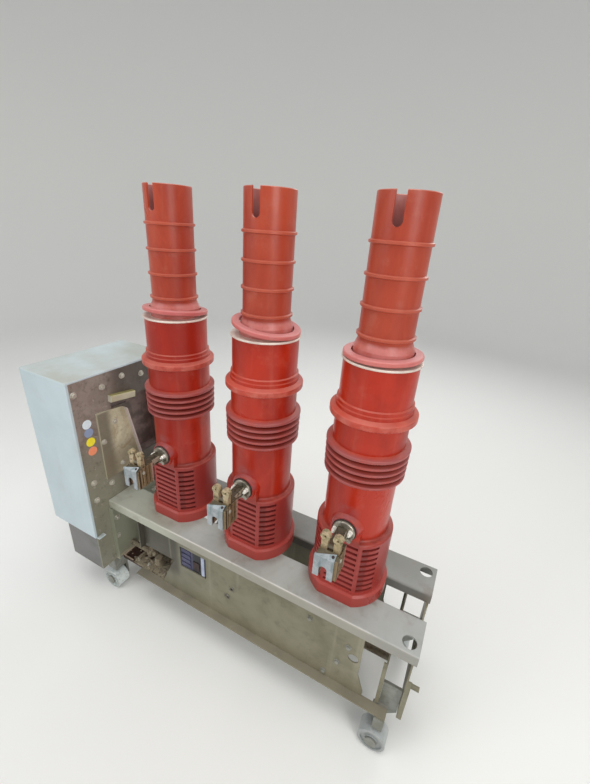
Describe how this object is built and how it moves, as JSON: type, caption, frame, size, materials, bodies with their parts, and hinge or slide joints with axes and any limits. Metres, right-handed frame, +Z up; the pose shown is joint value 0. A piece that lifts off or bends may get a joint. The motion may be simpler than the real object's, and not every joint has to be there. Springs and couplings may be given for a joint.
{
  "type": "vacuum circuit breaker",
  "caption": "Medium-voltage vacuum circuit breaker: tall red epoxy poles in a row on a low steel truck with rollers, mechanism housing at one end.",
  "frame": {"origin": "on the ground under the middle of the whole object", "axes": "+X along the row of poles, away from the mechanism; -Y towards the side the contacts face; +Z up"},
  "size_m": [1.007, 0.304, 1.0775],
  "materials": {
    "red_epoxy": "moulded brick-red epoxy, semi-gloss, dusty",
    "salmon_rubber": "matte salmon silicone",
    "bare_aluminium": "satin",
    "silvered_copper": "silver-plated, tarnished",
    "bronze": "dull cast bronze",
    "galvanised_clip": "bright galvanised sheet",
    "roller_steel": "turned steel, worn",
    "deck_steel": "light grey-beige, dusty",
    "truck_steel": "dull olive passivated steel, dusty",
    "cover_paint": "light grey powder coat",
    "housing_grey": "grey paint, dusty",
    "dark_plastic": "matte"
  },
  "bodies": {
    "root": {"back_axle_carrier_left": "truck_steel", "back_axle_carrier_right": "truck_steel", "back_beam": "deck_steel", "back_web": "truck_steel", "bar_bracket": "truck_steel", "drive_crank": "truck_steel", "drive_shaft": "roller_steel", "drive_tray": "truck_steel", "front_axle_carrier_left": "truck_steel", "front_axle_carrier_right": "truck_steel", "front_beam": "deck_steel", "front_web": "truck_steel", "inner_cross_plate": "truck_steel", "left_contact_clip": "galvanised_clip", "left_contact_jaws": "bronze", "left_end_plate": "truck_steel", "left_loose_ring": "salmon_rubber", "left_lower_terminal": "silvered_copper", "left_metal_ring": "bare_aluminium", "left_pole_body": "red_epoxy", "left_upper_tube": "red_epoxy", "linkage_plate": "truck_steel", "lower_housing": "housing_grey", "mechanism_cover": "cover_paint", "mechanism_side_plate": "truck_steel", "middle_contact_clip": "galvanised_clip", "middle_contact_jaws": "bronze", "middle_loose_ring": "salmon_rubber", "middle_lower_terminal": "silvered_copper", "middle_metal_ring": "bare_aluminium", "middle_pole_body": "red_epoxy", "middle_upper_tube": "red_epoxy", "right_contact_clip": "galvanised_clip", "right_contact_jaws": "bronze", "right_end_plate": "truck_steel", "right_loose_ring": "salmon_rubber", "right_lower_terminal": "silvered_copper", "right_metal_ring": "bare_aluminium", "right_pole_body": "red_epoxy", "right_upper_tube": "red_epoxy", "switch_box": "dark_plastic"},
    "back_roller_left": {"back_roller_left": "roller_steel"},
    "back_roller_right": {"back_roller_right": "roller_steel"},
    "front_roller_left": {"front_roller_left": "roller_steel"},
    "front_roller_right": {"front_roller_right": "roller_steel"}
  },
  "joints": [
    {"name": "back_roller_left_spin", "type": "hinge", "parent": "root", "child": "back_roller_left", "pos_m": [-0.3515, 0.13, 0.03], "axis": [0, 1, 0], "continuous": true},
    {"name": "back_roller_right_spin", "type": "hinge", "parent": "root", "child": "back_roller_right", "pos_m": [0.4425, 0.13, 0.03], "axis": [0, 1, 0], "continuous": true},
    {"name": "front_roller_left_spin", "type": "hinge", "parent": "root", "child": "front_roller_left", "pos_m": [-0.3515, -0.098, 0.03], "axis": [0, 1, 0], "continuous": true},
    {"name": "front_roller_right_spin", "type": "hinge", "parent": "root", "child": "front_roller_right", "pos_m": [0.4425, -0.098, 0.03], "axis": [0, 1, 0], "continuous": true}
  ]
}
